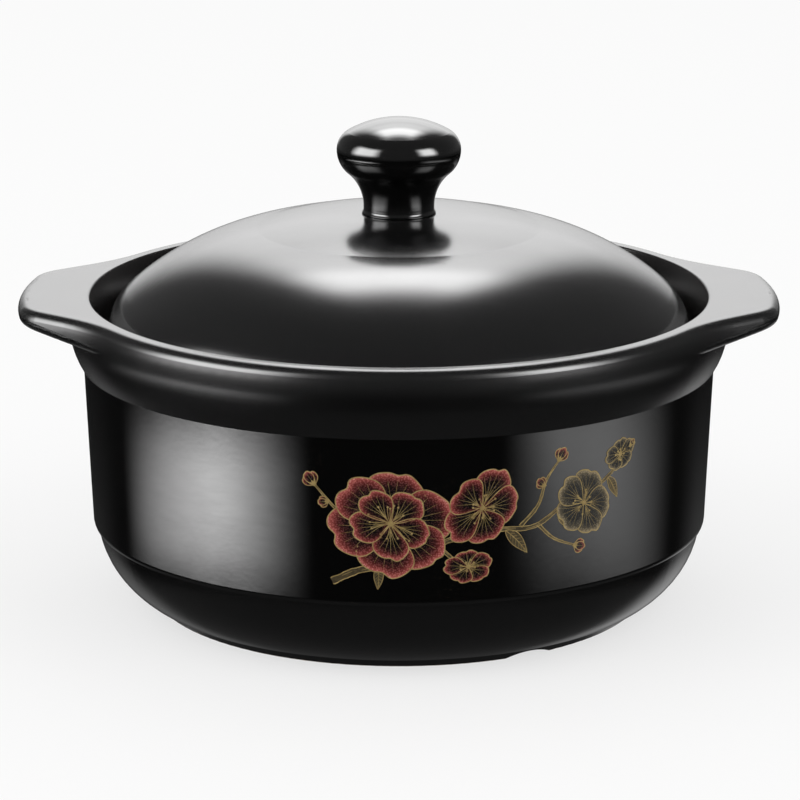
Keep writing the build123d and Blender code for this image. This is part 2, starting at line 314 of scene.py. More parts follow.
# Spray: sizes in millimetres, places across the band and up from the table, turns in degrees
double_rings = (
    {"petals": 6, "share": 1.0, "turn": 12, "width": 0.98, "notch": 0.07, "veins": 5},
    {"petals": 5, "share": 0.66, "turn": 40, "width": 0.92, "notch": 0.07, "veins": 5},
)
single_rings = (
    {"petals": 5, "share": 1.0, "turn": 20, "width": 1.08, "notch": 0.08, "veins": 5},
)
small_rings = (
    {"petals": 5, "share": 1.0, "turn": -8, "width": 1.06, "notch": 0.08, "veins": 3},
)
flowers = (
    {"centre": (-3, 64), "radius": 24, "lean": 0.84, "lean_angle": 62, "layer": 8,
     "fill": "petals", "rings": double_rings, "line": 0.42, "stamens": 17},
    {"centre": (31, 69), "radius": 15.5, "lean": 0.82, "lean_angle": 140, "layer": 6,
     "fill": "petals", "rings": single_rings, "line": 0.38, "stamens": 13},
    {"centre": (26, 46.5), "radius": 9.0, "lean": 0.74, "lean_angle": 95, "layer": 6,
     "fill": "petals", "rings": small_rings, "line": 0.34, "stamens": 9},
    {"centre": (73, 66), "radius": 14.0, "lean": 0.8, "lean_angle": 40, "layer": 6,
     "fill": "pale_petals", "rings": single_rings, "line": 0.36, "stamens": 11},
    {"centre": (90, 82), "radius": 7.5, "lean": 0.8, "lean_angle": 120, "layer": 6,
     "fill": "pale_petals", "rings": small_rings, "line": 0.3, "stamens": 7},
)
branches = (
    {"points": ((-25, 41), (-14, 46), (2, 49), (18, 57), (36, 60), (52, 60), (66, 68), (82, 73), (95, 84)),
     "start": 2.6, "end": 0.9, "layer": 2},
    {"points": ((14, 55.5), (20, 50), (25, 47)), "start": 1.3, "end": 0.8, "layer": 1},
    {"points": ((46, 60.5), (53, 68), (56, 77), (61, 84)), "start": 1.3, "end": 0.5, "layer": 1},
    {"points": ((53, 60.5), (60, 54), (69, 50)), "start": 1.1, "end": 0.5, "layer": 1},
    {"points": ((-14, 60), (-24, 70), (-31, 78)), "start": 1.2, "end": 0.5, "layer": 1},
)
buds = (
    {"place": (61, 84), "radius": 2.7, "turn": 28, "layer": 4},
    {"place": (55.6, 75), "radius": 2.1, "turn": -50, "layer": 4},
    {"place": (69, 50), "radius": 2.6, "turn": 105, "layer": 4},
    {"place": (-31, 78), "radius": 2.9, "turn": -38, "layer": 4},
    {"place": (-26, 72), "radius": 2.0, "turn": -100, "layer": 4},
    {"place": (95, 84), "radius": 1.6, "turn": 40, "layer": 4},
)
leaves = (
    {"place": (40, 59.5), "turn": 128, "length": 13, "width": 4.6, "bend": 0.16, "layer": 4},
    {"place": (62, 64.5), "turn": 158, "length": 9, "width": 3.4, "bend": -0.2, "layer": 4},
    {"place": (84, 74), "turn": 138, "length": 10, "width": 3.8, "bend": 0.2, "layer": 4},
    {"place": (-8, 47.5), "turn": 168, "length": 9, "width": 3.6, "bend": 0.2, "layer": 4},
)


def link(tree, value, socket):
    """Feed a socket from another socket, or set it to a plain value."""
    if isinstance(value, bpy.types.NodeSocket):
        tree.links.new(value, socket)
    else:
        socket.default_value = value


def add_node(tree, kind, inputs=None, **settings):
    """Add a shader node with its settings and inputs."""
    node = tree.nodes.new("ShaderNode" + kind)
    for name, setting in settings.items():
        setattr(node, name, setting)
    for name, value in (inputs or {}).items():
        link(tree, value, node.inputs[name])
    return node


def compute(tree, operation, *values):
    """Give the result of one sum on values or sockets."""
    return add_node(tree, "Math", dict(enumerate(values)), operation=operation).outputs[0]


def soft_step(tree, value, low, high, start=0.0, end=1.0):
    """Give a value that goes smoothly from start at low to end at high."""
    inputs = {"Value": value, "From Min": low, "From Max": high, "To Min": start, "To Max": end}
    return add_node(tree, "MapRange", inputs, interpolation_type="SMOOTHSTEP").outputs["Result"]


def soft_window(tree, value, ends, softs):
    """Give 1 between two ends and 0 outside, each end with its own softness."""
    low, high = ends
    low_soft, high_soft = softs
    rise = soft_step(tree, value, low - low_soft, low + low_soft)
    fall = soft_step(tree, value, high - high_soft, high + high_soft, start=1.0, end=0.0)
    return compute(tree, "MULTIPLY", rise, fall)


def mix_values(tree, share, first, second):
    """Blend two values by a share."""
    return add_node(tree, "Mix", {0: share, 2: first, 3: second}).outputs[0]


def mix_colours(tree, share, first, second):
    """Blend two colours by a share."""
    return add_node(tree, "Mix", {0: share, 6: first, 7: second}, data_type="RGBA").outputs[2]


def noise(tree, vector, scale, detail=2.0, roughness=0.5):
    """Give a noise value with a scale in waves per metre."""
    inputs = {"Vector": vector, "Scale": scale, "Detail": detail, "Roughness": roughness}
    return add_node(tree, "TexNoise", inputs).outputs["Fac"]


def object_place(tree):
    """Give the place on the piece, in metres."""
    return add_node(tree, "TexCoord").outputs["Object"]


# Camera, light and floor

def towards(azimuth, elevation):
    """Give the direction at an azimuth from the front and an elevation, both in degrees."""
    turn = math.radians(azimuth)
    rise = math.radians(elevation)
    return Vector((math.sin(turn) * math.cos(rise), -math.cos(turn) * math.cos(rise), math.sin(rise)))


def make_camera():
    """Add the camera at the picture's viewing angle."""
    data = bpy.data.cameras.new("camera")
    data.sensor_width = sensor_width
    data.lens = sensor_width * focal_pixels / picture_pixels
    data.shift_x = (picture_pixels / 2 - axis_pixel) / picture_pixels
    camera = bpy.data.objects.new("camera", data)
    bpy.context.collection.objects.link(camera)
    back = towards(0, camera_elevation)
    camera.location = camera_target + camera_distance * back
    camera.rotation_euler = back.to_track_quat("Z", "Y").to_euler()
    bpy.context.scene.camera = camera


def make_lamp(name, azimuth, elevation, level):
    """Add a wide soft lamp that lights matt surfaces to a level."""
    data = bpy.data.lights.new(name, "AREA")
    data.shape = "SQUARE"
    data.size = lamp_width
    data.energy = level * (math.pi * lamp_distance) ** 2 / math.sin(math.radians(elevation))
    lamp = bpy.data.objects.new(name, data)
    bpy.context.collection.objects.link(lamp)
    direction = towards(azimuth, elevation)
    lamp.location = camera_target + lamp_distance * direction
    lamp.rotation_euler = direction.to_track_quat("Z", "Y").to_euler()
    lamp.visible_glossy = False


def clear_stops(ramp):
    """Leave a colour ramp one stop, and give its stops."""
    stops = ramp.color_ramp.elements
    while len(stops) > 1:
        stops.remove(stops[-1])
    return stops


def backdrop_strength(tree, elevation):
    """Give the strength of the backdrop and the panel above it, by elevation."""
    ramp = add_node(tree, "ValToRGB", {"Fac": compute(tree, "DIVIDE", elevation, zenith)})
    ramp.color_ramp.interpolation = "EASE"
    stops = clear_stops(ramp)
    for index, (angle, share) in enumerate(backdrop_shares):
        stop = stops.new(angle / zenith) if index else stops[0]
        stop.position = angle / zenith
        stop.color = (share, share, share, 1)
    return compute(tree, "MULTIPLY", ramp.outputs["Color"], backdrop_peak)


def mirrored_studio(tree):
    """Give the light that a ray off the glaze meets, by its direction."""
    direction = add_node(tree, "TexCoord").outputs["Generated"]
    parts = add_node(tree, "SeparateXYZ", {0: direction})
    rise = compute(tree, "ARCSINE", parts.outputs["Z"])
    elevation = compute(tree, "DEGREES", rise)
    forward = compute(tree, "MULTIPLY", parts.outputs["Y"], -1.0)
    azimuth = compute(tree, "DEGREES", compute(tree, "ARCTAN2", parts.outputs["X"], forward))
    below = soft_step(tree, elevation, *near_table_ends, start=near_table_level, end=table_level)
    total = soft_step(tree, elevation, *horizon_ends, start=below, end=room_level)
    from_front = compute(tree, "ABSOLUTE", azimuth)
    behind = soft_step(tree, from_front, 180 - backdrop_outer_angle, 180 - backdrop_inner_angle)
    above_table = soft_step(tree, elevation, *backdrop_foot_ends)
    strength = compute(tree, "MULTIPLY", backdrop_strength(tree, elevation), above_table)
    total = compute(tree, "MULTIPLY_ADD", behind, strength, total)
    for panel in panels:
        across = soft_window(tree, azimuth, panel["sides"], panel["side_softs"])
        from_middle = compute(tree, "SUBTRACT", azimuth, sum(panel["sides"]) / 2)
        tilted = compute(tree, "MULTIPLY_ADD", from_middle, panel["tilt"], elevation)
        up = soft_window(tree, tilted, panel["heights"], (panel["soft"], panel["soft"]))
        shape = compute(tree, "MULTIPLY", across, up)
        total = compute(tree, "MULTIPLY_ADD", shape, panel["level"], total)
    return total


def make_world():
    """Add the studio: white to the camera, panels to the glaze and an even sky to the rest."""
    world = bpy.data.worlds.new("studio")
    bpy.context.scene.world = world
    world.use_nodes = True
    world.cycles.sampling_method = "NONE"
    tree = world.node_tree
    ray = add_node(tree, "LightPath")
    sharp = compute(tree, "MAXIMUM", ray.outputs["Is Glossy Ray"], ray.outputs["Is Transmission Ray"])
    level = mix_values(tree, sharp, sky_level, mirrored_studio(tree))
    level = mix_values(tree, ray.outputs["Is Camera Ray"], level, background_level)
    link(tree, level, tree.nodes["Background"].inputs["Strength"])
    tree.nodes["Background"].inputs["Color"].default_value = (1, 1, 1, 1)


def make_floor():
    """Add the pale floor with its faint shadow; the glaze mirrors the studio's table in its place."""
    shape = bmesh.new()
    bmesh.ops.create_grid(shape, x_segments=1, y_segments=1, size=floor_half_width)
    mesh = bpy.data.meshes.new("floor")
    shape.to_mesh(mesh)
    shape.free()
    floor = bpy.data.objects.new("floor", mesh)
    bpy.context.collection.objects.link(floor)
    floor.visible_glossy = False
    paper = bpy.data.materials.new("floor_paper")
    paper.use_nodes = True
    tree = paper.node_tree
    tree.nodes.remove(tree.nodes["Principled BSDF"])
    matt = add_node(tree, "BsdfDiffuse", {"Color": floor_colour})
    white = add_node(tree, "Emission", {"Strength": 1.0})
    ray = add_node(tree, "LightPath")
    share = compute(tree, "MULTIPLY", ray.outputs["Is Camera Ray"], floor_paleness)
    paper_look = add_node(tree, "MixShader", {0: share, 1: matt.outputs[0], 2: white.outputs[0]})
    link(tree, paper_look.outputs[0], tree.nodes["Material Output"].inputs["Surface"])
    mesh.materials.append(paper)


# Effects that several finishes share

def new_group(name, inputs, outputs):
    """Add a node group with named inputs and outputs, and give its tree and its two end nodes."""
    tree = bpy.data.node_groups.new(name, "ShaderNodeTree")
    for label, (kind, value) in inputs.items():
        socket = tree.interface.new_socket(label, in_out="INPUT", socket_type="NodeSocket" + kind)
        socket.default_value = value
    for label, kind in outputs.items():
        tree.interface.new_socket(label, in_out="OUTPUT", socket_type="NodeSocket" + kind)
    return tree, tree.nodes.new("NodeGroupInput"), tree.nodes.new("NodeGroupOutput")


def use_group(tree, group, inputs=None):
    """Place a node group in a material."""
    node = tree.nodes.new("ShaderNodeGroup")
    node.node_tree = group
    for name, value in (inputs or {}).items():
        link(tree, value, node.inputs[name])
    return node


def across_axis(tree, place):
    """Give the part of a place that lies across the pot's axis."""
    return add_node(tree, "VectorMath", {0: place, 1: (1, 1, 0)}, operation="MULTIPLY").outputs[0]


def vector_length(tree, vector):
    """Give the length of a vector."""
    return add_node(tree, "VectorMath", {0: vector}, operation="LENGTH").outputs["Value"]


def make_glaze_relief():
    """Slow waves, orange peel and a few pinholes in a fired glaze; all heights in metres."""
    inputs = {"Wave": ("Float", 0.0), "Peel": ("Float", 0.0), "Pit": ("Float", 0.0)}
    tree, start, end = new_group("glaze_relief", inputs, {"Height": "Float"})
    place = object_place(tree)
    wave = compute(tree, "MULTIPLY", noise(tree, place, wave_scale, detail=1.0), start.outputs["Wave"])
    peel = compute(tree, "MULTIPLY", noise(tree, place, peel_scale), start.outputs["Peel"])
    cells = add_node(tree, "TexVoronoi", {"Vector": place, "Scale": pit_scale})
    near = soft_step(tree, cells.outputs["Distance"], *pit_ends, start=1.0, end=0.0)
    pick = add_node(tree, "SeparateColor", {0: cells.outputs["Color"]}).outputs[0]
    chosen = compute(tree, "GREATER_THAN", pick, pit_threshold)
    pit = compute(tree, "MULTIPLY", compute(tree, "MULTIPLY", near, chosen), start.outputs["Pit"])
    height = compute(tree, "SUBTRACT", compute(tree, "ADD", wave, peel), pit)
    link(tree, height, end.inputs["Height"])
    return tree


def make_wiped_gloss():
    """Roughness with faint wipe marks and dull patches."""
    inputs = {"Roughness": ("Float", knob_roughness), "Marks": ("Float", knob_marks)}
    tree, start, end = new_group("wiped_gloss", inputs, {"Roughness": "Float"})
    place = object_place(tree)
    stretched = add_node(tree, "Mapping", {"Vector": place, "Scale": (1.0, 1.0, streak_squeeze)})
    patches = noise(tree, place, dull_patch_scale, detail=3.0)
    streaks = noise(tree, stretched.outputs[0], streak_scale, detail=3.0, roughness=0.6)
    both = compute(tree, "SUBTRACT", compute(tree, "ADD", patches, streaks), 1.0)
    marks = compute(tree, "MULTIPLY", both, start.outputs["Marks"])
    link(tree, compute(tree, "ADD", start.outputs["Roughness"], marks), end.inputs["Roughness"])
    return tree


def make_iron_specks():
    """A dark glaze colour with slow shifts of tone and small brown iron specks."""
    inputs = {
        "Colour": ("Color", pot_black),
        "Speck Colour": ("Color", speck_brown),
        "Amount": ("Float", pot_speck_share),
    }
    tree, start, end = new_group("iron_specks", inputs, {"Colour": "Color"})
    place = object_place(tree)
    dots = add_node(tree, "TexVoronoi", {"Vector": place, "Scale": speck_scale})
    dot = soft_step(tree, dots.outputs["Distance"], *speck_ends, start=1.0, end=0.0)
    clusters = soft_step(tree, noise(tree, place, cluster_scale), *cluster_ends)
    share = compute(tree, "MULTIPLY", compute(tree, "MULTIPLY", dot, clusters), start.outputs["Amount"])
    tone = soft_step(tree, noise(tree, place, tone_scale), *noise_ends, *tone_shares)
    toned = add_node(tree, "VectorMath", {0: start.outputs["Colour"], "Scale": tone}, operation="SCALE")
    colour = mix_colours(tree, share, toned.outputs[0], start.outputs["Speck Colour"])
    link(tree, colour, end.inputs["Colour"])
    return tree


def make_bare_clay():
    """The colour and grain of unglazed fired clay."""
    outputs = {"Colour": "Color", "Height": "Float"}
    tree, start, end = new_group("bare_clay", {"Grain": ("Float", clay_grain_height)}, outputs)
    place = object_place(tree)
    patches = noise(tree, place, clay_patch_scale, detail=4.0)
    grain = noise(tree, place, clay_grain_scale, detail=3.0, roughness=0.7)
    colour = mix_colours(tree, patches, clay_brown, clay_buff)
    dark_grain = soft_step(tree, grain, *dark_grain_ends, start=0.0, end=dark_grain_share)
    colour = mix_colours(tree, dark_grain, colour, clay_dark)
    link(tree, colour, end.inputs["Colour"])
    link(tree, compute(tree, "MULTIPLY", grain, start.outputs["Grain"]), end.inputs["Height"])
    return tree


def make_place_on_pot():
    """Height above the table and distance from the pot's axis in millimetres, and 1 on the inside."""
    outputs = {"Height": "Float", "Radius": "Float", "Inside": "Float"}
    tree, _, end = new_group("place_on_pot", {}, outputs)
    coordinates = add_node(tree, "TexCoord")
    flat = across_axis(tree, coordinates.outputs["Object"])
    length = vector_length(tree, flat)
    parts = add_node(tree, "SeparateXYZ", {0: coordinates.outputs["Object"]})
    outward = {0: flat, 1: coordinates.outputs["Normal"]}
    facing = add_node(tree, "VectorMath", outward, operation="DOT_PRODUCT")
    radius = compute(tree, "DIVIDE", length, mm)
    height = compute(tree, "DIVIDE", parts.outputs["Z"], mm)
    inwards = compute(tree, "LESS_THAN", facing.outputs["Value"], 0.0)
    above_foot = compute(tree, "GREATER_THAN", height, inside_lowest)
    link(tree, height, end.inputs["Height"])
    link(tree, radius, end.inputs["Radius"])
    link(tree, compute(tree, "MULTIPLY", inwards, above_foot), end.inputs["Inside"])
    return tree


def make_turned_rings():
    """Fine rings left by turning round the pot's axis."""
    outputs = {"Height": "Float", "Roughness": "Float"}
    inputs = {"Depth": ("Float", ring_depth), "Roughness": ("Float", steel_roughness)}
    tree, start, end = new_group("turned_rings", inputs, outputs)
    place = object_place(tree)
    length = vector_length(tree, across_axis(tree, place))
    rise = add_node(tree, "SeparateXYZ", {0: place})
    ring_place = add_node(tree, "CombineXYZ", {"X": length, "Y": rise.outputs["Z"]})
    rings = noise(tree, ring_place.outputs[0], ring_scale, detail=3.0, roughness=0.7)
    smears = noise(tree, place, smear_scale)
    change = compute(tree, "MULTIPLY", compute(tree, "SUBTRACT", smears, 0.5), smear_roughness)
    link(tree, compute(tree, "MULTIPLY", rings, start.outputs["Depth"]), end.inputs["Height"])
    link(tree, compute(tree, "ADD", start.outputs["Roughness"], change), end.inputs["Roughness"])
    return tree


def make_print_stipple():
    """The fine dots of a printed shade, as a value from 0 to 1."""
    inputs = {"Scale": ("Float", petal_dot_scale)}
    tree, start, end = new_group("print_stipple", inputs, {"Stipple": "Float"})
    place = object_place(tree)
    cells = add_node(tree, "TexVoronoi", {"Vector": place, "Scale": start.outputs["Scale"]})
    dot = soft_step(tree, cells.outputs["Distance"], *print_dot_ends, start=1.0, end=0.0)
    fine = noise(tree, place, start.outputs["Scale"], detail=3.0)
    half_fine = compute(tree, "MULTIPLY", fine, 0.5)
    link(tree, compute(tree, "MULTIPLY_ADD", dot, 0.5, half_fine), end.inputs["Stipple"])
    return tree


glaze_relief = make_glaze_relief()
wiped_gloss = make_wiped_gloss()
iron_specks = make_iron_specks()
bare_clay = make_bare_clay()
place_on_pot = make_place_on_pot()
turned_rings = make_turned_rings()
print_stipple = make_print_stipple()


# Finishes

def new_finish(name, **fixed):
    """Add a material and give it, its tree and its shader; fixed values go on the shader's sockets."""
    finish = bpy.data.materials.new(name)
    finish.use_nodes = True
    shader = finish.node_tree.nodes["Principled BSDF"]
    for label, value in fixed.items():
        shader.inputs[label.replace("_", " ")].default_value = value
    return finish, finish.node_tree, shader


def add_relief(tree, shader, height):
    """Feed a height in metres to the shader's normal."""
    bump = add_node(tree, "Bump", {"Strength": 1.0, "Distance": 1.0, "Height": height})
    link(tree, bump.outputs[0], shader.inputs["Normal"])


def glaze_height(tree, wave, peel, pit):
    """Give the relief of a glaze from its three heights in metres."""
    return use_group(tree, glaze_relief, {"Wave": wave, "Peel": peel, "Pit": pit}).outputs["Height"]


def specked_glaze(tree, black, speck_share):
    """Give a black glaze's colour with a share of brown iron specks."""
    colours = {"Colour": black, "Speck Colour": speck_brown, "Amount": speck_share}
    return use_group(tree, iron_specks, colours).outputs[0]


def below_line(tree, height, heights, wander):
    """Give 1 below an uneven line on the pot and 0 above it, all in millimetres."""
    line = compute(tree, "MULTIPLY", noise(tree, object_place(tree), glaze_line_scale), wander)
    return soft_step(tree, compute(tree, "SUBTRACT", height, line), *heights, start=1.0, end=0.0)


def glaze_over_clay(tree, shader, bare, colour, roughness, relief):
    """Put a glaze on the shader, with bare fired clay where the share bare is 1."""
    clay = use_group(tree, bare_clay)
    shown = mix_colours(tree, bare, colour, clay.outputs["Colour"])
    link(tree, shown, shader.inputs["Base Color"])
    link(tree, mix_values(tree, bare, roughness, clay_roughness), shader.inputs["Roughness"])
    add_relief(tree, shader, mix_values(tree, bare, relief, clay.outputs["Height"]))


def pot_finish():
    """Satin collar, rim and ears, gloss band and bowl, brown-black inside and a bare foot."""
    finish, tree, shader = new_finish("pot_glaze", IOR=glaze_ior)
    place = use_group(tree, place_on_pot)
    height = place.outputs["Height"]
    upper = soft_step(tree, height, *satin_heights)
    outer = soft_step(tree, place.outputs["Radius"], *satin_radii)
    satin = compute(tree, "MULTIPLY", upper, outer)
    bowl = soft_step(tree, height, *bowl_heights, start=1.0, end=0.0)
    roughness = mix_values(tree, bowl, band_roughness, bowl_roughness)
    roughness = mix_values(tree, satin, roughness, satin_roughness)
    gloss = use_group(tree, wiped_gloss, {"Roughness": roughness, "Marks": wipe_marks})
    black = mix_colours(tree, place.outputs["Inside"], pot_black, inside_black)
    colour = specked_glaze(tree, black, pot_speck_share)
    bare = below_line(tree, height, pot_line_heights, pot_line_wander)
    peel = mix_values(tree, satin, gloss_peel_height, satin_peel_height)
    relief = glaze_height(tree, wave_height, peel, pit_depth)
    glaze_over_clay(tree, shader, bare, colour, gloss.outputs[0], relief)
    return finish


def lid_finish():
    """Smooth black glaze with a bare lip where the lid sits on its ledge."""
    finish, tree, shader = new_finish("lid_glaze", IOR=glaze_ior)
    height = use_group(tree, place_on_pot).outputs["Height"]
    gloss = use_group(tree, wiped_gloss, {"Roughness": lid_roughness, "Marks": wipe_marks})
    colour = specked_glaze(tree, lid_black, lid_speck_share)
    bare = below_line(tree, height, lid_line_heights, lid_line_wander)
    relief = glaze_height(tree, wave_height, gloss_peel_height, pit_depth)
    glaze_over_clay(tree, shader, bare, colour, gloss.outputs[0], relief)
    return finish


def knob_finish():
    """Deep black gloss glaze."""
    finish, tree, shader = new_finish("knob_glaze", IOR=glaze_ior)
    gloss = use_group(tree, wiped_gloss, {"Roughness": knob_roughness, "Marks": knob_marks})
    colour = specked_glaze(tree, knob_black, knob_speck_share)
    link(tree, colour, shader.inputs["Base Color"])
    link(tree, gloss.outputs[0], shader.inputs["Roughness"])
    relief = glaze_height(tree, knob_wave_height, knob_peel_height, knob_pit_depth)
    add_relief(tree, shader, relief)
    return finish


def metal_finish(name, colour, stain, roughness):
    """Turned metal with faint smears and a little tarnish."""
    finish, tree, shader = new_finish(name, Metallic=1.0)
    rings = use_group(tree, turned_rings, {"Depth": ring_depth, "Roughness": roughness})
    blotches = noise(tree, object_place(tree), tarnish_scale, detail=4.0, roughness=0.6)
    tarnish = soft_step(tree, blotches, *tarnish_ends, start=0.0, end=tarnish_share)
    link(tree, mix_colours(tree, tarnish, colour, stain), shader.inputs["Base Color"])
    link(tree, rings.outputs["Roughness"], shader.inputs["Roughness"])
    add_relief(tree, shader, rings.outputs["Height"])
    return finish


def rubber_finish():
    """Moulded grey silicone rubber with a fine matt grain and pale dust."""
    finish, tree, shader = new_finish("seal_rubber", IOR=rubber_ior)
    place = object_place(tree)
    blotches = noise(tree, place, dust_scale, detail=4.0, roughness=0.65)
    dust = soft_step(tree, blotches, *dust_ends, start=0.0, end=dust_share)
    link(tree, mix_colours(tree, dust, rubber_grey, dust_grey), shader.inputs["Base Color"])
    shine = noise(tree, place, rubber_shine_scale)
    roughness = soft_step(tree, shine, *noise_ends, *rubber_roughness)
    link(tree, roughness, shader.inputs["Roughness"])
    grain = noise(tree, place, rubber_grain_scale)
    add_relief(tree, shader, compute(tree, "MULTIPLY", grain, rubber_grain_height))
    return finish


def petal_depths(tree):
    """Give how far out a place on a petal is, and how far up from the root, both from 0 to 1."""
    place = add_node(tree, "TexCoord").outputs["UV"]
    parts = add_node(tree, "SeparateXYZ", {0: place})
    return parts.outputs["X"], parts.outputs["Y"]


def colour_steps(tree, level, steps):
    """Give the colour for a level from pairs of level and colour."""
    ramp = add_node(tree, "ValToRGB", {"Fac": level})
    stops = clear_stops(ramp)
    for index, (position, colour) in enumerate(steps):
        stop = stops.new(position) if index else stops[0]
        stop.position = position
        stop.color = (*colour, 1)
    return ramp.outputs["Color"]


def new_print(name, dot_scale, roughness):
    """Add a stippled print colour, and give it, its tree, its shader and its stipple."""
    finish, tree, shader = new_finish(name, IOR=print_ior)
    grain = use_group(tree, print_stipple, {"Scale": dot_scale}).outputs["Stipple"]
    stippled = soft_step(tree, grain, *noise_ends, *roughness)
    link(tree, stippled, shader.inputs["Roughness"])
    add_relief(tree, shader, compute(tree, "MULTIPLY", grain, print_grain_height))
    return finish, tree, shader, grain


def add_grain(tree, level, grain, share):
    """Move a level up and down by a stipple."""
    change = compute(tree, "MULTIPLY", compute(tree, "SUBTRACT", grain, 0.5), share)
    return compute(tree, "ADD", level, change)


def petal_finish():
    """Overglaze red: near black at the root, stippled through deep red to a light red rim."""
    finish, tree, shader, grain = new_print("print_red", petal_dot_scale, red_roughness)
    depth, rise = petal_depths(tree)
    rim = compute(tree, "POWER", depth, red_rim_power)
    tip = compute(tree, "MULTIPLY", rise, red_tip_share)
    glow = compute(tree, "MULTIPLY_ADD", rim, red_rim_share, tip)
    level = add_grain(tree, glow, grain, red_grain_share)
    link(tree, colour_steps(tree, level, petal_reds), shader.inputs["Base Color"])
    return finish


def pale_petal_finish():
    """A thin stippled wash of pale gold over black."""
    finish, tree, shader, grain = new_print("print_pale_gold", petal_dot_scale, pale_roughness)
    depth, rise = petal_depths(tree)
    rim = compute(tree, "POWER", depth, pale_rim_power)
    glow = compute(tree, "MULTIPLY", rim, compute(tree, "ADD", rise, pale_root_share))
    level = add_grain(tree, glow, grain, pale_grain_share)
    link(tree, colour_steps(tree, level, pale_golds), shader.inputs["Base Color"])
    return finish


def leaf_finish():
    """Dim bronze for the leaves and the branch, with a fine uneven grain."""
    finish, tree, shader, grain = new_print("print_bronze", leaf_dot_scale, bronze_roughness)
    shift = noise(tree, object_place(tree), leaf_shift_scale, detail=3.0)
    fine = compute(tree, "MULTIPLY", grain, leaf_grain_share)
    level = compute(tree, "ADD", fine, compute(tree, "MULTIPLY", shift, leaf_shift_share))
    link(tree, colour_steps(tree, level, bronzes), shader.inputs["Base Color"])
    return finish


def line_finish():
    """Printed gold: a warm ochre with brighter and thinner places."""
    finish, tree, shader = new_finish("print_gold", Metallic=gold_metal_share)
    place = object_place(tree)
    broad = noise(tree, place, gold_broad_scale, detail=3.0)
    fine = compute(tree, "MULTIPLY", noise(tree, place, gold_fine_scale), gold_fine_share)
    level = compute(tree, "ADD", broad, fine)
    colour = colour_steps(tree, compute(tree, "SUBTRACT", level, gold_fine_share / 2), golds)
    link(tree, colour, shader.inputs["Base Color"])
    roughness = soft_step(tree, level, *gold_ends, *gold_roughness)
    link(tree, roughness, shader.inputs["Roughness"])
    grain = noise(tree, place, gold_grain_scale)
    add_relief(tree, shader, compute(tree, "MULTIPLY", grain, gold_grain_height))
    return finish


def dress_nodes():
    """Give every carried-over CAD node its finish."""
    steel = metal_finish("screw_steel", steel_grey, steel_stain, steel_roughness)
    brass = metal_finish("insert_brass", brass_yellow, brass_stain, brass_roughness)
    rubber = rubber_finish()
    finishes = {
        "pot_body": pot_finish(),
        "lid": lid_finish(),
        "knob": knob_finish(),
        "knob_insert": brass,
        "knob_gasket": rubber,
        "seal_washer": rubber,
        "screw_washer": steel,
        "lid_screw": steel,
    }
    for name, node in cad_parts.items():
        for material_slot in node.material_slots:
            material_slot.material = finishes[name]


# Printed spray of plum blossom, drawn flat in millimetres: across the band, then up from the table

def directions(turn):
    """Give the direction at an angle from straight up, and the one to its right."""
    forward = Vector((math.sin(turn), math.cos(turn)))
    return forward, Vector((forward.y, -forward.x))


def steps_to_one(count):
    """Give the shares from 0 to 1 in a number of even steps."""
    return [step / count for step in range(count + 1)]


def between(points, steps):
    """Give places along a smooth line through points, with a number of steps between each two."""
    ends = [2 * points[0] - points[1]] + points + [2 * points[-1] - points[-2]]
    line = []
    for before, start, end, after in zip(ends, ends[1:], ends[2:], ends[3:]):
        for step in range(steps):
            share = step / steps
            first = (end - before) / 2
            last = (after - start) / 2
            blend = share * share * (3 - 2 * share)
            pull = first * share * (1 - share) ** 2 - last * share * share * (1 - share)
            line.append(start + (end - start) * blend + pull)
    return line + [points[-1]]


def across_line(line, index):
    """Give the direction across a line of places at one of them."""
    along = line[min(index + 1, len(line) - 1)] - line[max(index - 1, 0)]
    return Vector((-along.y, along.x)).normalized()


def faces_of(vertices):
    """Give the faces that meet at any of some vertices."""
    return list({face for vertex in vertices for face in vertex.link_faces})


def add_thickness(sheet, faces, layer):
    """Give flat new faces their thickness; a higher layer stands further out."""
    result = bmesh.ops.extrude_face_region(sheet, geom=faces)
    for part in result["geom"]:
        if isinstance(part, bmesh.types.BMVert):
            part.co.z = print_lift + layer * layer_step


def add_ribbon(sheet, line, start_width, end_width, layer, bulge=0.0):
    """Add a flat ribbon along a line of places, with a width at each end and a bulge between."""
    count = len(line) - 1
    grid = bmesh.ops.create_grid(sheet, x_segments=count, y_segments=1, size=1.0)
    for vertex in grid["verts"]:
        index = round((vertex.co.x + 1) / 2 * count)
        side = vertex.co.y
        share = index / count
        width = start_width + (end_width - start_width) * share + bulge * math.sin(math.pi * share)
        place = line[index] + across_line(line, index) * side * width / 2
        vertex.co = (place.x, place.y, -print_sink)
    add_thickness(sheet, faces_of(grid["verts"]), layer)


def add_dot(sheet, place, radius, layer):
    """Add a small round dot."""
    circle = bmesh.ops.create_circle(sheet, cap_ends=True, radius=radius, segments=dot_corners)
    bmesh.ops.translate(sheet, verts=circle["verts"], vec=(place.x, place.y, -print_sink))
    add_thickness(sheet, faces_of(circle["verts"]), layer)


def leaned(flower, local):
    """Squash a place about a flower's middle, because the flower leans away."""
    lean = math.radians(flower["lean_angle"])
    axis = Vector((math.cos(lean), math.sin(lean)))
    return local - axis * local.dot(axis) * (1 - flower["lean"])


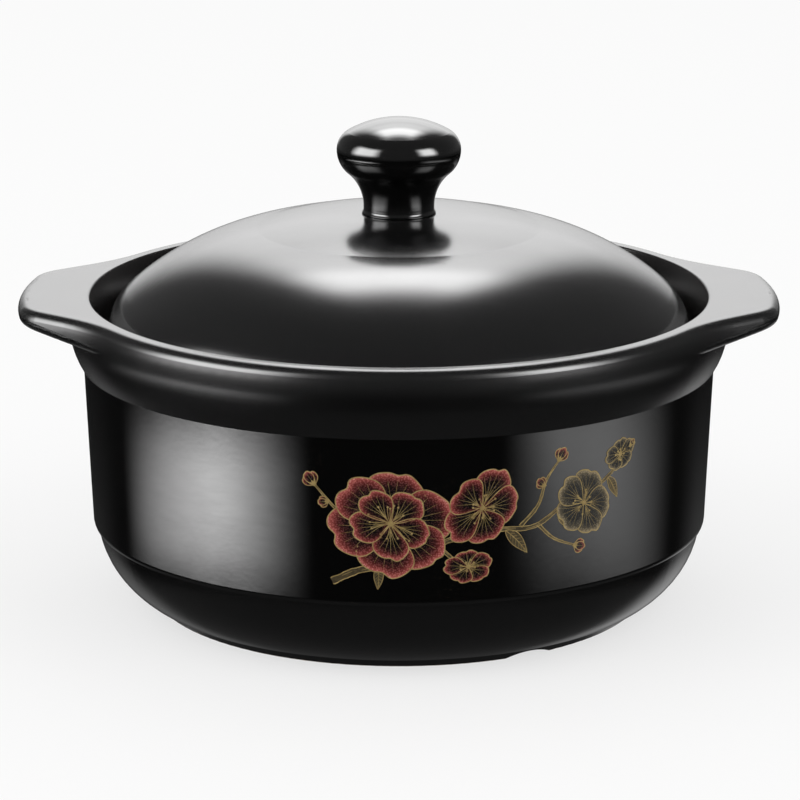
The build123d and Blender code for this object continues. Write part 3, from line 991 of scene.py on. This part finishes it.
def petal_place(petal, x, y):
    """Give the place on a petal for one in a circle of radius 1, with the root at y = -1."""
    rise = (y + 1) / 2
    swell = math.sin(math.pi / 2 * min(rise * petal_swell_speed, 1))
    fullness = petal_root_share + (1 - petal_root_share) * swell
    notch = petal["notch"] * math.exp(-(x / petal_notch_share) ** 2) * rise**4
    ripple = petal_ripple_share * math.sin(petal_ripples * x + petal["turn"]) * rise
    across = x * petal["width"] / 2 * fullness
    along = petal["length"] * (rise - notch + ripple)
    sine = math.sin(petal["turn"])
    cosine = math.cos(petal["turn"])
    local = Vector((sine * along + cosine * across, cosine * along - sine * across))
    local += petal["root"] * Vector((sine, cosine))
    return Vector(petal["flower"]["centre"]) + leaned(petal["flower"], local)


def add_petal(sheet, petal, layer):
    """Add the filled shape of a petal, with its depth and its rise in the UV map."""
    uv_map = sheet.loops.layers.uv.verify()
    grid = bmesh.ops.create_grid(sheet, x_segments=petal_cells, y_segments=petal_cells, size=1.0)
    flat = {}
    for vertex in grid["verts"]:
        u, v = vertex.co.x, vertex.co.y
        x = u * math.sqrt(1 - v * v / 2)
        y = v * math.sqrt(1 - u * u / 2)
        place = petal_place(petal, x, y)
        vertex.co = (place.x, place.y, -print_sink)
        flat[vertex] = (math.hypot(x, y), (y + 1) / 2)
    faces = faces_of(grid["verts"])
    for face in faces:
        for loop in face.loops:
            loop[uv_map].uv = flat[loop.vert]
    add_thickness(sheet, faces, layer)


def outline_petal(sheet, petal, layer, width, veins, vein_width):
    """Draw a petal's outline and its veins in fine lines."""
    angles = range(-outline_end_angle, outline_end_angle + 1, outline_step_angle)
    turns = [math.radians(angle) for angle in angles]
    line = [petal_place(petal, math.sin(turn), math.cos(turn)) for turn in turns]
    end_width = width * outline_width_share
    add_ribbon(sheet, line, end_width, end_width, layer, bulge=width * outline_bulge_share)
    for index in range(veins):
        lean = (index - (veins - 1) / 2) / max(veins - 1, 1) * vein_spread
        reach = vein_reach - vein_shortening * abs(lean)
        line = []
        for share in steps_to_one(vein_steps):
            line.append(petal_place(petal, lean * share**vein_curve, vein_root + reach * share))
        add_ribbon(sheet, line, vein_width, vein_width * vein_tip_share, layer)


def add_stamens(sheet, flower, layer, chance):
    """Draw the stamens in the middle of a flower, each with a dot of pollen."""
    centre = Vector(flower["centre"])
    count = flower["stamens"]
    for index in range(count):
        turn = 2 * math.pi * (index + chance.uniform(-stamen_shift_share, stamen_shift_share)) / count
        reach = flower["radius"] * chance.uniform(*stamen_reach_shares)
        bend = chance.uniform(-stamen_bend, stamen_bend)
        line = []
        for share in steps_to_one(stamen_steps):
            forward = directions(turn + bend * share)[0]
            line.append(centre + leaned(flower, reach * share * forward))
        add_ribbon(sheet, line, *stamen_widths, layer)
        add_dot(sheet, line[-1], pollen_radius, layer + 1)
    add_dot(sheet, centre, pistil_radius, layer + 1)


def flower_petals(flower, ring):
    """Give the petals of one ring of a flower."""
    radius = flower["radius"] * ring["share"]
    petals = []
    for index in range(ring["petals"]):
        sway = 1 + petal_sway_share * math.sin(petal_sway_step * index + ring["turn"])
        petals.append({
            "turn": math.radians(ring["turn"]) + 2 * math.pi * index / ring["petals"],
            "root": radius * ring_root_share,
            "length": radius * ring_length_share * sway,
            "width": radius * ring["width"],
            "notch": ring["notch"],
            "flower": flower,
        })
    return petals


def draw_flower(sheets, flower, chance):
    """Draw one flower: its petals from the outer ring inwards, their lines and its stamens."""
    layer = flower["layer"]
    line_width = flower["line"]
    vein_width = line_width * vein_width_share
    for ring in flower["rings"]:
        for petal in flower_petals(flower, ring):
            add_petal(sheets[flower["fill"]], petal, layer)
            outline_petal(sheets["lines"], petal, layer + 1, line_width, ring["veins"], vein_width)
            layer += 2
    add_stamens(sheets["lines"], flower, layer, chance)


def draw_bud(sheets, bud):
    """Draw a closed bud of three petals in a gold cup."""
    radius = bud["radius"]
    layer = bud["layer"]
    flower = {"centre": bud["place"], "lean": 1.0, "lean_angle": 0}
    turn = math.radians(bud["turn"])
    for swing, length_share in bud_petal_shares:
        petal = {
            "turn": turn + swing,
            "root": 0.0,
            "length": radius * length_share,
            "width": radius * bud_width_share,
            "notch": 0.0,
            "flower": flower,
        }
        add_petal(sheets["petals"], petal, layer)
        outline_petal(sheets["lines"], petal, layer + 1, bud_line, 1, bud_vein)
        layer += 2
    forward, side = directions(turn)
    root = Vector(bud["place"])
    for swing in cup_swing_shares:
        tip = root + radius * (cup_height_share * forward + swing * side)
        tooth = between([root - cup_root_depth * forward, (root + tip) / 2, tip], cup_steps)
        add_ribbon(sheets["lines"], tooth, *cup_widths, layer + 1, bulge=cup_bulge)


def draw_leaf(sheets, leaf):
    """Draw a pointed leaf with a midrib and side veins."""
    forward, side = directions(math.radians(leaf["turn"]))
    root = Vector(leaf["place"])
    length = leaf["length"]
    width = leaf["width"]
    layer = leaf["layer"]
    shares = steps_to_one(leaf_steps)
    midrib = []
    for share in shares:
        midrib.append(root + forward * length * share + side * leaf["bend"] * length * share**2)
    half_shares = [math.sin(math.pi * share**leaf_belly_power) for share in shares]
    add_ribbon(sheets["leaves"], midrib, *leaf_fill_widths, layer, bulge=width * leaf_fill_share)
    for edge in (-1, 1):
        line = [place + side * edge * width / 2 * share for place, share in zip(midrib, half_shares)]
        add_ribbon(sheets["lines"], line, *leaf_edge_widths, layer + 1)
    add_ribbon(sheets["lines"], midrib, *midrib_widths, layer + 2)
    for index in leaf_vein_steps:
        for edge in (-1, 1):
            start = midrib[index]
            across = side * edge * width / 2 * half_shares[index] * leaf_vein_share
            end = midrib[min(index + 2, leaf_steps)] + across
            vein = [start, (start + end) / 2, end]
            add_ribbon(sheets["lines"], vein, *leaf_vein_widths, layer + 2)


def draw_branch(sheets, branch):
    """Draw a branch: its dim fill, two gold edges and a few strokes of bark."""
    line = between([Vector(point) for point in branch["points"]], branch_steps)
    layer = branch["layer"]
    add_ribbon(sheets["leaves"], line, branch["start"], branch["end"], layer)
    count = len(line) - 1
    edges = {-1: [], 1: []}
    for index, place in enumerate(line):
        across = across_line(line, index)
        width = branch["start"] + (branch["end"] - branch["start"]) * index / count
        knot = 1 + knot_share * math.sin(knot_step * index) * math.sin(knot_drift * index)
        for edge in edges:
            edges[edge].append(place + across * edge * width / 2 * knot)
    for edge in edges.values():
        add_ribbon(sheets["lines"], edge, *branch_edge_widths, layer + 1)
    for index in range(bark_first, count - bark_length, bark_spacing):
        share = bark_shares[index % 2]
        stroke = []
        for step in range(index, index + bark_length):
            stroke.append(edges[-1][step] * share + edges[1][step] * (1 - share))
        add_ribbon(sheets["lines"], stroke, *bark_widths, layer + 1, bulge=bark_bulge)


def wrap_on_band(sheet):
    """Wrap a flat drawing round the pot's band and give it its real size in metres."""
    slope = (band_top_radius - band_bottom_radius) / (collar_bottom - band_bottom)
    middle_radius = (band_top_radius + band_bottom_radius) / 2
    for vertex in sheet.verts:
        across, up, out = vertex.co
        radius = band_bottom_radius + slope * (up - band_bottom) + out
        turn = across / middle_radius
        vertex.co = Vector((radius * math.sin(turn), -radius * math.cos(turn), up)) * mm


def add_print(name, sheet, finish):
    """Turn a wrapped drawing into a piece on the pot."""
    wrap_on_band(sheet)
    bmesh.ops.recalc_face_normals(sheet, faces=sheet.faces)
    for face in sheet.faces:
        face.smooth = True
    for edge in sheet.edges:
        edge.smooth = edge.calc_face_angle(0.0) < sharp_angle
    mesh = bpy.data.meshes.new(name)
    sheet.to_mesh(mesh)
    sheet.free()
    mesh.materials.append(finish)
    piece = bpy.data.objects.new(name, mesh)
    bpy.context.collection.objects.link(piece)
    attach(piece, "pot")


def make_spray():
    """Draw the whole spray and put it on the front of the band."""
    sheets = {name: bmesh.new() for name in ("petals", "pale_petals", "leaves", "lines")}
    chance = random.Random(stamen_seed)
    for branch in branches:
        draw_branch(sheets, branch)
    for leaf in leaves:
        draw_leaf(sheets, leaf)
    for flower in flowers:
        draw_flower(sheets, flower, chance)
    for bud in buds:
        draw_bud(sheets, bud)
    add_print("print_petals", sheets["petals"], petal_finish())
    add_print("print_pale_petals", sheets["pale_petals"], pale_petal_finish())
    add_print("print_leaves", sheets["leaves"], leaf_finish())
    add_print("print_lines", sheets["lines"], line_finish())


make_camera()
bpy.context.scene.view_settings.view_transform = "Standard"
for lamp in lamps:
    make_lamp(**lamp)
make_world()
make_floor()
dress_nodes()
make_spray()
